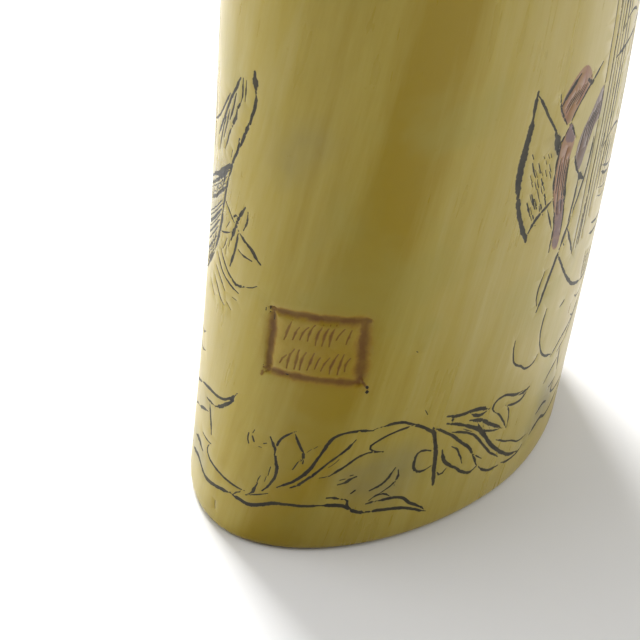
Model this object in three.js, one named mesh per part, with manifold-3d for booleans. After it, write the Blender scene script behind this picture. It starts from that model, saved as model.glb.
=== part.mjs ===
// A scrimshaw whale tooth: a cast resin copy of a sperm whale tooth, sawn flat at the root so that it stands,
// with a maker's cartouche sunk in its narrow edge, a leaf garland cut round its foot and a ship on each side.
// Millimetres, +Z up. The origin is the middle of the flat foot, X runs along the foot's long axis,
// and the tip bends towards -X. The broad sides face -Y and +Y.
import * as THREE from "three";
import { mergeVertices } from "three/addons/utils/BufferGeometryUtils.js";
import Module from "manifold-3d";

const wasm = await Module();
wasm.setup();

// ---- Driving dimensions ----
const FOOT_LENGTH = 76; // along X
const FOOT_THICKNESS = 45; // along Y
const SPINE = 158; // length of the bent centre line, foot to tip
const BEND = THREE.MathUtils.degToRad(26); // lean of the centre line at the tip
const BEND_POWER = 1.5; // the lean grows with this power of the way up
const TAPER = 0.06; // share of the width lost evenly on the way up
const CROWN_POWER = 4.5; // how late the sides start to close on the tip
const CROWN_ROUND = 0.7; // 0.5 gives a blunt tip, 1 a sharp one
const OVAL_POWER = 1.87; // 2 is an ellipse, less is nearer a lens
const FOOT_ROUND = 1.2; // radius of the worn edge round the foot

const COLUMNS = 56; // faces round the tooth
const ROWS = 19; // faces up the tooth
const FOOT_STEPS = 3; // faces round the worn edge

const CARTOUCHE = { left: 3.6, right: 16.0, low: 30.2, high: 40.4, groove: 1.3, depth: 0.5 };
const MARK = { rows: 2, perRow: 7, width: 0.55, depth: 0.25, lean: 0.5 };
const LINE = { width: 0.7, depth: 0.3, step: 0.8, stray: 0.16 }; // an engraved line
const HEAVY = 1.35; // a leading line is cut this much wider
const GARLAND = { repeats: 3, start: -13 }; // leaf units round the foot, and where the first one starts
const FRONT_SHIP = { bow: 48, heading: -1, water: 32, length: 36, height: 72 }; // on the side facing -Y
const BACK_SHIP = { bow: -8, heading: 1, water: 36, length: 40, height: 70 }; // on the side facing +Y
const PROUD = 0.25; // how far a cutter stands out of the skin that it cuts
const CLEAN = 0.01; // edges shorter than this are closed up

// ---- The form ----
// Lean of the centre line from the vertical, s millimetres up it.
const lean = (s) => BEND * Math.pow(THREE.MathUtils.clamp(s / SPINE, 0, 1), BEND_POWER);

// The centre line's points, one each half millimetre, by adding up short steps.
const SPINE_STEP = 0.5;
const spinePoints = [new THREE.Vector3()];
for (let s = 0; s < SPINE; s += SPINE_STEP) {
  const way = lean(s + SPINE_STEP / 2);
  const step = new THREE.Vector3(-Math.sin(way), 0, Math.cos(way)).multiplyScalar(SPINE_STEP);
  spinePoints.push(spinePoints.at(-1).clone().add(step));
}

function spineAt(s) {
  const i = THREE.MathUtils.clamp(s / SPINE_STEP, 0, spinePoints.length - 1.001);
  return spinePoints[Math.floor(i)].clone().lerp(spinePoints[Math.floor(i) + 1], i % 1);
}

// Share of the foot's width that is left s millimetres up.
function fullness(s) {
  const h = THREE.MathUtils.clamp(s / SPINE, 0, 1);
  return (1 - TAPER * h) * Math.pow(1 - Math.pow(h, CROWN_POWER), CROWN_ROUND);
}

// A point of the skin: angle round the centre line from +X, s up it, and inset square to the section.
function skin(angle, s, inset = 0) {
  const power = THREE.MathUtils.lerp(OVAL_POWER, 2, THREE.MathUtils.clamp(s / SPINE, 0, 1));
  const c = Math.cos(angle);
  const d = Math.sin(angle);
  const reach = Math.pow(Math.pow(Math.abs(c), power) + Math.pow(Math.abs(d), power), -1 / power);
  const along = ((FOOT_LENGTH / 2) * fullness(s) - inset) * reach * c;
  const across = ((FOOT_THICKNESS / 2) * fullness(s) - inset) * reach * d;
  const centre = spineAt(s);
  return new THREE.Vector3(
    centre.x + along * Math.cos(lean(s)),
    across,
    centre.z + along * Math.sin(lean(s)),
  );
}

// The drawing's sheet is wrapped round the tooth: w is measured along the foot's outline from the middle of
// the narrow edge at -X, towards the broad side at -Y, and s up the centre line.
const ROUND_STEPS = 1440;
const footAngle = (i) => Math.PI + (2 * Math.PI * i) / ROUND_STEPS;
const footLengths = [0];
for (let i = 1; i <= ROUND_STEPS; i++)
  footLengths.push(footLengths.at(-1) + skin(footAngle(i), 0).distanceTo(skin(footAngle(i - 1), 0)));
const GIRTH = footLengths.at(-1);

function angleAt(w) {
  const inside = THREE.MathUtils.euclideanModulo(w, GIRTH);
  let low = 0;
  let high = ROUND_STEPS;
  while (high - low > 1) {
    const middle = (low + high) >> 1;
    if (footLengths[middle] <= inside) low = middle;
    else high = middle;
  }
  const share = (inside - footLengths[low]) / (footLengths[high] - footLengths[low]);
  return footAngle(low + share);
}

// A point of the sheet, moved out of the skin by height (in, if it is negative).
function onSheet(w, s, height = 0) {
  const here = skin(angleAt(w), s);
  const across = skin(angleAt(w + 0.1), s).sub(skin(angleAt(w - 0.1), s));
  const up = skin(angleAt(w), s + 0.1).sub(skin(angleAt(w), s - 0.1));
  return here.add(across.cross(up).normalize().multiplyScalar(height));
}

// ---- Meshes and solids ----
function geometryOf(points, faces) {
  const geometry = new THREE.BufferGeometry().setFromPoints(points);
  geometry.setIndex(faces.flat());
  return geometry;
}

function solidOf(geometry) {
  const bare = geometry.clone();
  bare.deleteAttribute("normal");
  bare.deleteAttribute("uv");
  const merged = mergeVertices(bare, 1e-4);
  return new wasm.Manifold(
    new wasm.Mesh({
      numProp: 3,
      vertProperties: merged.attributes.position.array,
      triVerts: new Uint32Array(merged.index.array),
    }),
  );
}

function geometryFrom(solid) {
  const mesh = solid.getMesh();
  const geometry = new THREE.BufferGeometry();
  geometry.setAttribute("position", new THREE.BufferAttribute(new Float32Array(mesh.vertProperties), 3));
  geometry.setIndex(new THREE.BufferAttribute(new Uint32Array(mesh.triVerts), 1));
  geometry.computeVertexNormals();
  return geometry;
}

// Rings of equal count, joined by faces and closed by a hub at each end.
function closedRings(rings, lowHub, highHub) {
  const count = rings[0].length;
  const points = [...rings.flat(), lowHub, highHub];
  const low = points.length - 2;
  const faces = [];
  for (let r = 0; r < rings.length - 1; r++)
    for (let i = 0; i < count; i++) {
      const a = r * count + i;
      const b = r * count + ((i + 1) % count);
      faces.push([a, b, b + count], [a, b + count, a + count]);
    }
  const last = (rings.length - 1) * count;
  for (let i = 0; i < count; i++) {
    const next = (i + 1) % count;
    faces.push([low, next, i], [low + 1, last + i, last + next]);
  }
  return geometryOf(points, faces);
}

function blank() {
  const ring = (s, inset, lift = null) =>
    Array.from({ length: COLUMNS }, (_, i) => {
      const p = skin((2 * Math.PI * i) / COLUMNS, s, inset);
      if (lift !== null) p.z = lift;
      return p;
    });
  const rings = [];
  for (let i = 0; i <= FOOT_STEPS; i++) {
    const turn = ((Math.PI / 2) * i) / FOOT_STEPS;
    rings.push(ring(0, FOOT_ROUND * (1 - Math.sin(turn)), FOOT_ROUND * (1 - Math.cos(turn))));
  }
  const straight = SPINE - FOOT_ROUND;
  for (let i = 1; i < ROWS; i++) {
    const share = i / ROWS;
    rings.push(ring(FOOT_ROUND + straight * (1 - Math.pow(1 - share, 1.35)), 0));
  }
  return closedRings(rings, new THREE.Vector3(), spineAt(SPINE));
}

// ---- Cutters ----
// A line of the drawing: a smooth curve through a few points of the sheet, walked in short steps.
// Only the steps that the curve needs are kept: none strays more than LINE.stray from the skin.
function sampled(points) {
  const curve = new THREE.SplineCurve(points.map(([w, s]) => new THREE.Vector2(w, s)));
  const steps = Math.max(4, Math.round(curve.getLength() / LINE.step));
  const spots = Array.from({ length: steps + 1 }, (_, i) => {
    const at = curve.getPoint(i / steps);
    const way = curve.getTangent(i / steps);
    return { w: at.x, s: at.y, side: new THREE.Vector2(-way.y, way.x), at: onSheet(at.x, at.y) };
  });
  const kept = [spots[0]];
  for (let from = 0, to = 2; to <= steps; to++) {
    const chord = new THREE.Line3(spots[from].at, spots[to].at);
    const between = spots.slice(from + 1, to);
    const nearest = new THREE.Vector3();
    const strays = ({ at }) => chord.closestPointToPoint(at, true, nearest).distanceTo(at) > LINE.stray;
    if (between.some(strays)) {
      from = to - 1;
      kept.push(spots[from]);
    }
  }
  return [...kept, spots[steps]];
}

// A V-shaped cutter along a line. Its ends run out to a point if taper is set.
function vee(points, width, depth, taper = true) {
  const spots = sampled(points);
  const rings = spots.map(({ w, s, side }, i) => {
    const end = taper && (i === 0 || i === spots.length - 1) ? 0.35 : 1;
    const half = (width / 2) * (1 + PROUD / depth) * end;
    return [
      onSheet(w - side.x * half, s - side.y * half, PROUD),
      onSheet(w, s, -depth * end),
      onSheet(w + side.x * half, s + side.y * half, PROUD),
    ];
  });
  const middle = (ring) => ring[0].clone().add(ring[1]).add(ring[2]).divideScalar(3);
  return solidOf(closedRings(rings, middle(rings[0]), middle(rings.at(-1))));
}

function cartoucheCutters() {
  const { left, right, low, high, groove, depth } = CARTOUCHE;
  const bars = [
    [[left, low], [left, high]],
    [[right, low], [right, high]],
    [[left, low], [right, low]],
    [[left, high], [right, high]],
  ];
  const cutters = bars.map((bar) => vee(bar, groove, depth, false));
  const pitch = (right - left - 2 * groove) / MARK.perRow;
  const rowHeight = (high - low - 2 * groove) / MARK.rows;
  for (let row = 0; row < MARK.rows; row++)
    for (let i = 0; i < MARK.perRow; i++) {
      const w = left + groove + pitch * (i + 0.5);
      const s = low + groove + rowHeight * (row + 0.5);
      const reach = rowHeight * 0.3;
      const stroke = [[w - MARK.lean / 2, s - reach], [w + MARK.lean / 2, s + reach]];
      cutters.push(vee(stroke, MARK.width, MARK.depth));
    }
  return cutters;
}

// One unit of the garland as [w, s] lines: a stem, a hanging leaf, a bud, an arching leaf, a flame and a fan.
const STEM = [[-10.5, 6.9], [-4.6, 6.3], [0.7, 7.6], [7.1, 8.2], [15.7, 8.1], [20, 6.3]];
const GARLAND_LINES = [
  [[-13, 17.4], [-7.2, 20.8], [-1.7, 22.6], [-0.3, 24.4]],
  [[-0.9, 23], [-2.9, 20.8], [-7.2, 19]],
  [[5.1, 9.9], [6.4, 13.3], [5.2, 19.3]],
  [[6.1, 16.8], [8.2, 20.9], [9.7, 15.6]],
  [[8.6, 11.2], [12.9, 15.7], [16.3, 19.6]],
  [[18.8, 6.4], [24.7, 5.8], [29.4, 3.5]],
  [[28.7, 4.6], [25.2, 7.4], [20.8, 9]],
  [[27.7, 18.9], [33.6, 14.2], [38, 8.1]],
  [[32.7, 18.6], [38.6, 13.3], [47.4, 5.6]],
  [[30.2, 14.4], [31.2, 11.5], [34.9, 8.2]],
  [[39.9, 6.7], [43.8, 5.4], [50, 5.8]],
  [[29.9, 20.3], [38, 18.6]],
  [[39.1, 17.8], [41, 19], [48, 17.4]],
];
const ARCH = [[6.7, 11.1], [11.4, 16], [14.6, 20.8], [21.5, 21.5], [27.7, 18.5], [29.4, 11.4], [29.8, 8.3]];

function garlandCutters() {
  const cutters = [];
  for (let repeat = 0; repeat < GARLAND.repeats; repeat++) {
    const shift = (GIRTH * repeat) / GARLAND.repeats;
    const moved = (line) => line.map(([w, s]) => [w + shift, s]);
    for (const line of GARLAND_LINES) cutters.push(vee(moved(line), LINE.width, LINE.depth));
    for (const line of [STEM, ARCH]) cutters.push(vee(moved(line), LINE.width * HEAVY, LINE.depth));
  }
  return cutters;
}

// A three-masted ship drawn from its bow: x runs aft and y up from the water, in shares of length and height.
const HULL = [[0, 0.18], [0.2, 0.14], [0.6, 0.13], [1, 0.2]];
const KEEL = [[0.04, 0], [0.5, -0.01], [0.93, 0.01]];
const STEM_POST = [[0, 0.18], [0.01, 0.08], [0.04, 0]];
const STERN = [[1, 0.2], [0.98, 0.08], [0.93, 0.01]];
const BOWSPRIT = [[0.02, 0.17], [-0.26, 0.27]];
const JIB = [[[-0.24, 0.27], [-0.2, 0.48], [0.04, 0.72]], [[0.04, 0.72], [0, 0.46], [-0.24, 0.27]]];
const MASTS = [{ x: 0.16, top: 0.92 }, { x: 0.5, top: 1 }, { x: 0.82, top: 0.86 }];
const SAIL = { low: 0.26, gap: 0.03, half: [0.15, 0.12], belly: 0.03 }; // two square sails to a mast

function shipCutters({ bow, heading, water, length, height }) {
  const placed = (line) => line.map(([x, y]) => [bow - heading * x * length, water + y * height]);
  const heavy = [HULL, KEEL, STEM_POST, STERN, BOWSPRIT];
  const plain = [...JIB];
  for (const { x, top } of MASTS) {
    plain.push([[x, 0.16], [x, SAIL.low]], [[x, top - SAIL.gap], [x, top]]);
    const rise = (top - SAIL.low - SAIL.gap) / SAIL.half.length;
    SAIL.half.forEach((half, i) => {
      const y = SAIL.low + rise * i;
      const head = y + rise - SAIL.gap;
      plain.push([[x - half, y], [x, y + SAIL.belly], [x + half, y]]);
      plain.push([[x - half * 0.8, head], [x + half * 0.8, head]]);
      for (const side of [-half, half]) plain.push([[x + side, y], [x + side * 0.8, head]]);
    });
  }
  return [
    ...heavy.map((line) => vee(placed(line), LINE.width * HEAVY, LINE.depth)),
    ...plain.map((line) => vee(placed(line), LINE.width, LINE.depth)),
  ];
}

const body = solidOf(blank());
const cut = wasm.Manifold.union([
  ...cartoucheCutters(),
  ...garlandCutters(),
  ...shipCutters(FRONT_SHIP),
  ...shipCutters(BACK_SHIP),
]);

// Crumbs of skin left between lines that meet are dropped: the largest body is the tooth.
const bodies = body.subtract(cut).simplify(CLEAN).decompose();
const engraved = bodies.reduce((a, b) => (a.volume() > b.volume() ? a : b));

const resin = new THREE.MeshStandardMaterial({ color: 0xb8a35a, roughness: 0.38, metalness: 0 });
const tooth = new THREE.Mesh(geometryFrom(engraved), resin);
tooth.name = "tooth";

const part = new THREE.Group();
part.add(tooth);
export default part;
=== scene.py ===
"""The looks of a scrimshaw whale tooth: cast resin, engraved and inked, on its own sawn foot.

The drawing is made flat, on a sheet whose x runs round the tooth and whose y runs up it. The sheet is cut
into a fine mesh line by line, and then wrapped round the tooth. Its x, called w below, starts at the middle
of the narrow edge at -X and grows towards the broad side at -Y, and its y is called s. Sizes in the tables
are in millimetres.
"""

import math
import random

import bmesh
import bpy
import numpy as np
from bpy.props import FloatProperty, FloatVectorProperty, IntProperty, PointerProperty
from mathutils import Matrix, Vector, kdtree
from mathutils.geometry import delaunay_2d_cdt


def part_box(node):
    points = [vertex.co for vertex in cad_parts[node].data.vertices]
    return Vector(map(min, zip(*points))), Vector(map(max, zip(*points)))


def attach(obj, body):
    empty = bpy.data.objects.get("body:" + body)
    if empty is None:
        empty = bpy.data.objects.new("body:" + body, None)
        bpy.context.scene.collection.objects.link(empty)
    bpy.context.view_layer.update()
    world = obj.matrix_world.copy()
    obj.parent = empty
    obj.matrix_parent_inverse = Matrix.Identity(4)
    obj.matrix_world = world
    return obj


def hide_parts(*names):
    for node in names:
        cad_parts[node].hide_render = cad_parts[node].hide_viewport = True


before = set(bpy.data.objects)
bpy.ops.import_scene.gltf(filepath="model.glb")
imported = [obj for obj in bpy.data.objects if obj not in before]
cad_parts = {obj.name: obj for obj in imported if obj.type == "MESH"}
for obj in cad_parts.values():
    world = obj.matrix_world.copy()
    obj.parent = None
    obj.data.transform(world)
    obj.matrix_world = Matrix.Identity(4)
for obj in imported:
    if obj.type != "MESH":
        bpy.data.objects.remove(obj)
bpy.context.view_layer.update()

bl_info = {
    "name": "Scrimshaw whale tooth",
    "version": (1, 0, 0),
    "blender": (4, 5, 0),
    "location": "View3D > Sidebar > Tooth",
    "description": "Builds an engraved resin whale tooth round its packed solid",
    "category": "Object",
}

MM = 0.001
LOW, HIGH = (Vector(corner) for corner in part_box("tooth"))


# ---- Sizes and colours that a user would change ----
def length(name, default, text):
    return FloatProperty(name=name, description=text, default=default, unit="LENGTH", precision=5)


def number(name, default, text):
    return FloatProperty(name=name, description=text, default=default)


def power(name, default, text):
    return FloatProperty(name=name, description=text, default=default, unit="POWER")


def colour(name, default, text):
    return FloatVectorProperty(
        name=name, description=text, default=default, subtype="COLOR", size=4, min=0, max=1
    )


class ToothForm(bpy.types.PropertyGroup):
    """The tooth's overall shape"""

    foot_length: length("Foot length", 0.076, "Length of the flat foot, along X")
    foot_thickness: length("Foot thickness", HIGH.y - LOW.y, "Thickness of the foot, along Y")
    spine: length("Spine", 0.158, "Length of the bent centre line from foot to tip")
    bend: FloatProperty(
        name="Bend", description="Lean of the tip", default=math.radians(26), subtype="ANGLE"
    )
    bend_power: number("Bend power", 1.5, "How late the bend starts")
    taper: number("Taper", 0.06, "Share of the width lost on the way up")
    crown_power: number("Crown power", 4.5, "How late the tip closes")
    crown_round: number("Crown round", 0.7, "Bluntness of the tip")
    oval_power: number("Oval power", 1.87, "2 is an ellipse, less a lens")
    foot_round: length("Foot round", 0.0012, "Radius of the worn edge round the foot")


class Engraving(bpy.types.PropertyGroup):
    """How the lines are cut and how the sheet is meshed"""

    step: length("Step", 0.00055, "Distance between the points of a line")
    wobble: length("Wobble", 0.00022, "How far the hand strays from a line")
    pressure: number("Pressure", 0.55, "Change of a line's width")
    taper: length("Taper", 0.0011, "Length over which a line runs out at its ends")
    depth: length("Depth", 0.00007, "Depth of an ordinary line")
    cell: length("Cell", 0.0021, "Mesh size between the lines")
    repeats: IntProperty(name="Repeats", description="Garland units round the foot", default=3, min=1)
    seed: IntProperty(name="Seed", description="Seed of all that is uneven", default=7)


class Finish(bpy.types.PropertyGroup):
    """Colours of the resin and the inks"""

    resin: colour("Resin", (0.375, 0.288, 0.05, 1), "Main colour of the casting resin")
    resin_light: colour("Light streaks", (0.43, 0.35, 0.12, 1), "Colour of the paler streaks")
    # The brown streak colour also carries the painted shade near the foot.
    resin_dark: colour("Brown streaks", (0.285, 0.195, 0.006, 1), "Colour of the browner streaks")
    resin_green: colour("Grey cloud", (0.31, 0.27, 0.06, 1), "Colour of the greyish clouds")
    ink: colour("Ink", (0.013, 0.011, 0.008, 1), "Colour rubbed into the lines")
    red: colour("Red wash", (0.2, 0.055, 0.03, 1), "Colour of the red bands")
    purple: colour("Purple wash", (0.09, 0.04, 0.045, 1), "Colour where the red bands are darkest")
    sienna: colour("Sienna", (0.11, 0.035, 0.003, 1), "Brown stain in the cartouche")
    sienna_light: colour("Light sienna", (0.29, 0.16, 0.006, 1), "Thin brown stain round the cartouche")
    grime: colour("Grime", (0.16, 0.15, 0.1, 1), "Grey haze of rubbed ink beside the lines")


class Stage(bpy.types.PropertyGroup):
    """Floor, light and camera"""

    floor_size: length("Floor size", 3.0, "Edge of the square floor")
    floor_colour: colour("Floor colour", (0.86, 0.86, 0.86, 1), "Colour of the floor")
    lens: FloatProperty(name="Lens", description="Focal length", default=84.375, unit="CAMERA")
    walls: number("Walls", 0.72, "Brightness of the white walls")
    dim_side: colour("Dim side", (0.02, 0.02, 0.02, 1), "Colour of the walls on the dim side")
    key_power: power("Key", 18.0, "Power of the main light")
    side_power: power("Side", 3.0, "Power of the light at the left")
    fill_power: power("Fill", 3.0, "Power of the light at the right")


class ToothSettings(bpy.types.PropertyGroup):
    """All settings of the tooth"""

    form: PointerProperty(type=ToothForm)
    engraving: PointerProperty(type=Engraving)
    finish: PointerProperty(type=Finish)
    stage: PointerProperty(type=Stage)


# ---- Node trees as expressions ----
class Value:
    """A number or a vector worked out by nodes."""

    def __init__(self, nodes, socket):
        self.nodes = nodes
        self.socket = socket

    def __add__(self, other):
        return self.nodes.maths("ADD", self, other)

    def __radd__(self, other):
        return self.nodes.maths("ADD", other, self)

    def __sub__(self, other):
        return self.nodes.maths("SUBTRACT", self, other)

    def __rsub__(self, other):
        return self.nodes.maths("SUBTRACT", other, self)

    def __mul__(self, other):
        return self.nodes.maths("MULTIPLY", self, other)

    def __rmul__(self, other):
        return self.nodes.maths("MULTIPLY", other, self)

    def __truediv__(self, other):
        return self.nodes.maths("DIVIDE", self, other)

    def __rtruediv__(self, other):
        return self.nodes.maths("DIVIDE", other, self)

    def __pow__(self, other):
        return self.nodes.maths("POWER", self, other)


class Nodes:
    """Adds nodes to a tree, each from its type, its settings and the values or links of its sockets."""

    def __init__(self, tree):
        self.tree = tree

    def add(self, kind, settings=None, **inputs):
        node = self.tree.nodes.new(kind)
        for key, setting in (settings or {}).items():
            setattr(node, key, setting)
        for key, value in inputs.items():
            self.feed(self.socket_of(node, key), value)
        return node

    def socket_of(self, node, key):
        if key.startswith("in") and key[2:].isdigit():
            return node.inputs[int(key[2:])]
        return node.inputs[key.replace("_", " ")]

    def feed(self, socket, value):
        if isinstance(value, Value):
            self.tree.links.new(value.socket, socket)
        elif value is not None:
            socket.default_value = value

    def out(self, node, key=0):
        return Value(self, node.outputs[key])

    def maths(self, operation, a, b=None):
        return self.out(self.add("ShaderNodeMath", {"operation": operation}, in0=a, in1=b))

    def clamped(self, a):
        return self.out(self.add("ShaderNodeMath", {"operation": "ADD", "use_clamp": True}, in0=a, in1=0.0))

    def step(self, value, low, high):
        """0 below low, 1 above high and a smooth rise between them."""
        node = self.add(
            "ShaderNodeMapRange", {"interpolation_type": "SMOOTHSTEP"},
            Value=value, From_Min=low, From_Max=high, To_Min=0.0, To_Max=1.0,
        )
        return self.out(node)

    def vector(self, x=0.0, y=0.0, z=0.0):
        return self.out(self.add("ShaderNodeCombineXYZ", None, X=x, Y=y, Z=z))

    def parts(self, vector):
        node = self.add("ShaderNodeSeparateXYZ", None, Vector=vector)
        return [self.out(node, i) for i in range(3)]

    def along(self, operation, a, b=None, scale=None):
        node = self.add("ShaderNodeVectorMath", {"operation": operation}, in0=a, in1=b)
        if scale is not None:
            self.feed(node.inputs["Scale"], scale)
        return self.out(node)

    def mix(self, share, a, b):
        node = self.add("ShaderNodeMix", {"data_type": "RGBA"})
        self.feed(node.inputs[0], share)
        self.feed(node.inputs[6], a)
        self.feed(node.inputs[7], b)
        return Value(self, node.outputs[2])

    def noise(self, vector, scale, detail=2.0, roughness=0.5, distortion=0.0, colour=False):
        node = self.add(
            "ShaderNodeTexNoise", None,
            Vector=vector, Scale=scale, Detail=detail, Roughness=roughness, Distortion=distortion,
        )
        return self.out(node, "Color" if colour else 0)


# ---- The sheet ----
OUTLINE_STEPS = 1440  # chords round the foot
SPINE_STEPS = 316  # chords up the bent centre line
SEAM_MARGIN = 2  # mm from the seam within which a line is laid on both ends of the sheet


def outline_length(form):
    """Girth of the foot, added up over the same chords as in the wrapping tree."""
    turn = np.linspace(0, 2 * math.pi, OUTLINE_STEPS + 1)
    c, s = np.cos(turn), np.sin(turn)
    power = form.oval_power
    reach = (np.abs(c) ** power + np.abs(s) ** power) ** (-1 / power)
    x = form.foot_length / 2 * reach * c
    y = form.foot_thickness / 2 * reach * s
    return float(np.hypot(np.diff(x), np.diff(y)).sum())


def fullness(form, s):
    """Share of the foot's width that is left at a place up the spine."""
    h = np.clip(s / form.spine, 0, 1)
    return (1 - form.taper * h) * (1 - h**form.crown_power) ** form.crown_round


class Line:
    """One cut on the sheet.

    It has points, an inked width, what is rubbed into it, and its depth against an ordinary line.
    """

    def __init__(self, points, width=0.38, pigment="ink", depth=1.0):
        self.points = points
        self.width = width
        self.pigment = pigment
        self.depth = depth


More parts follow.
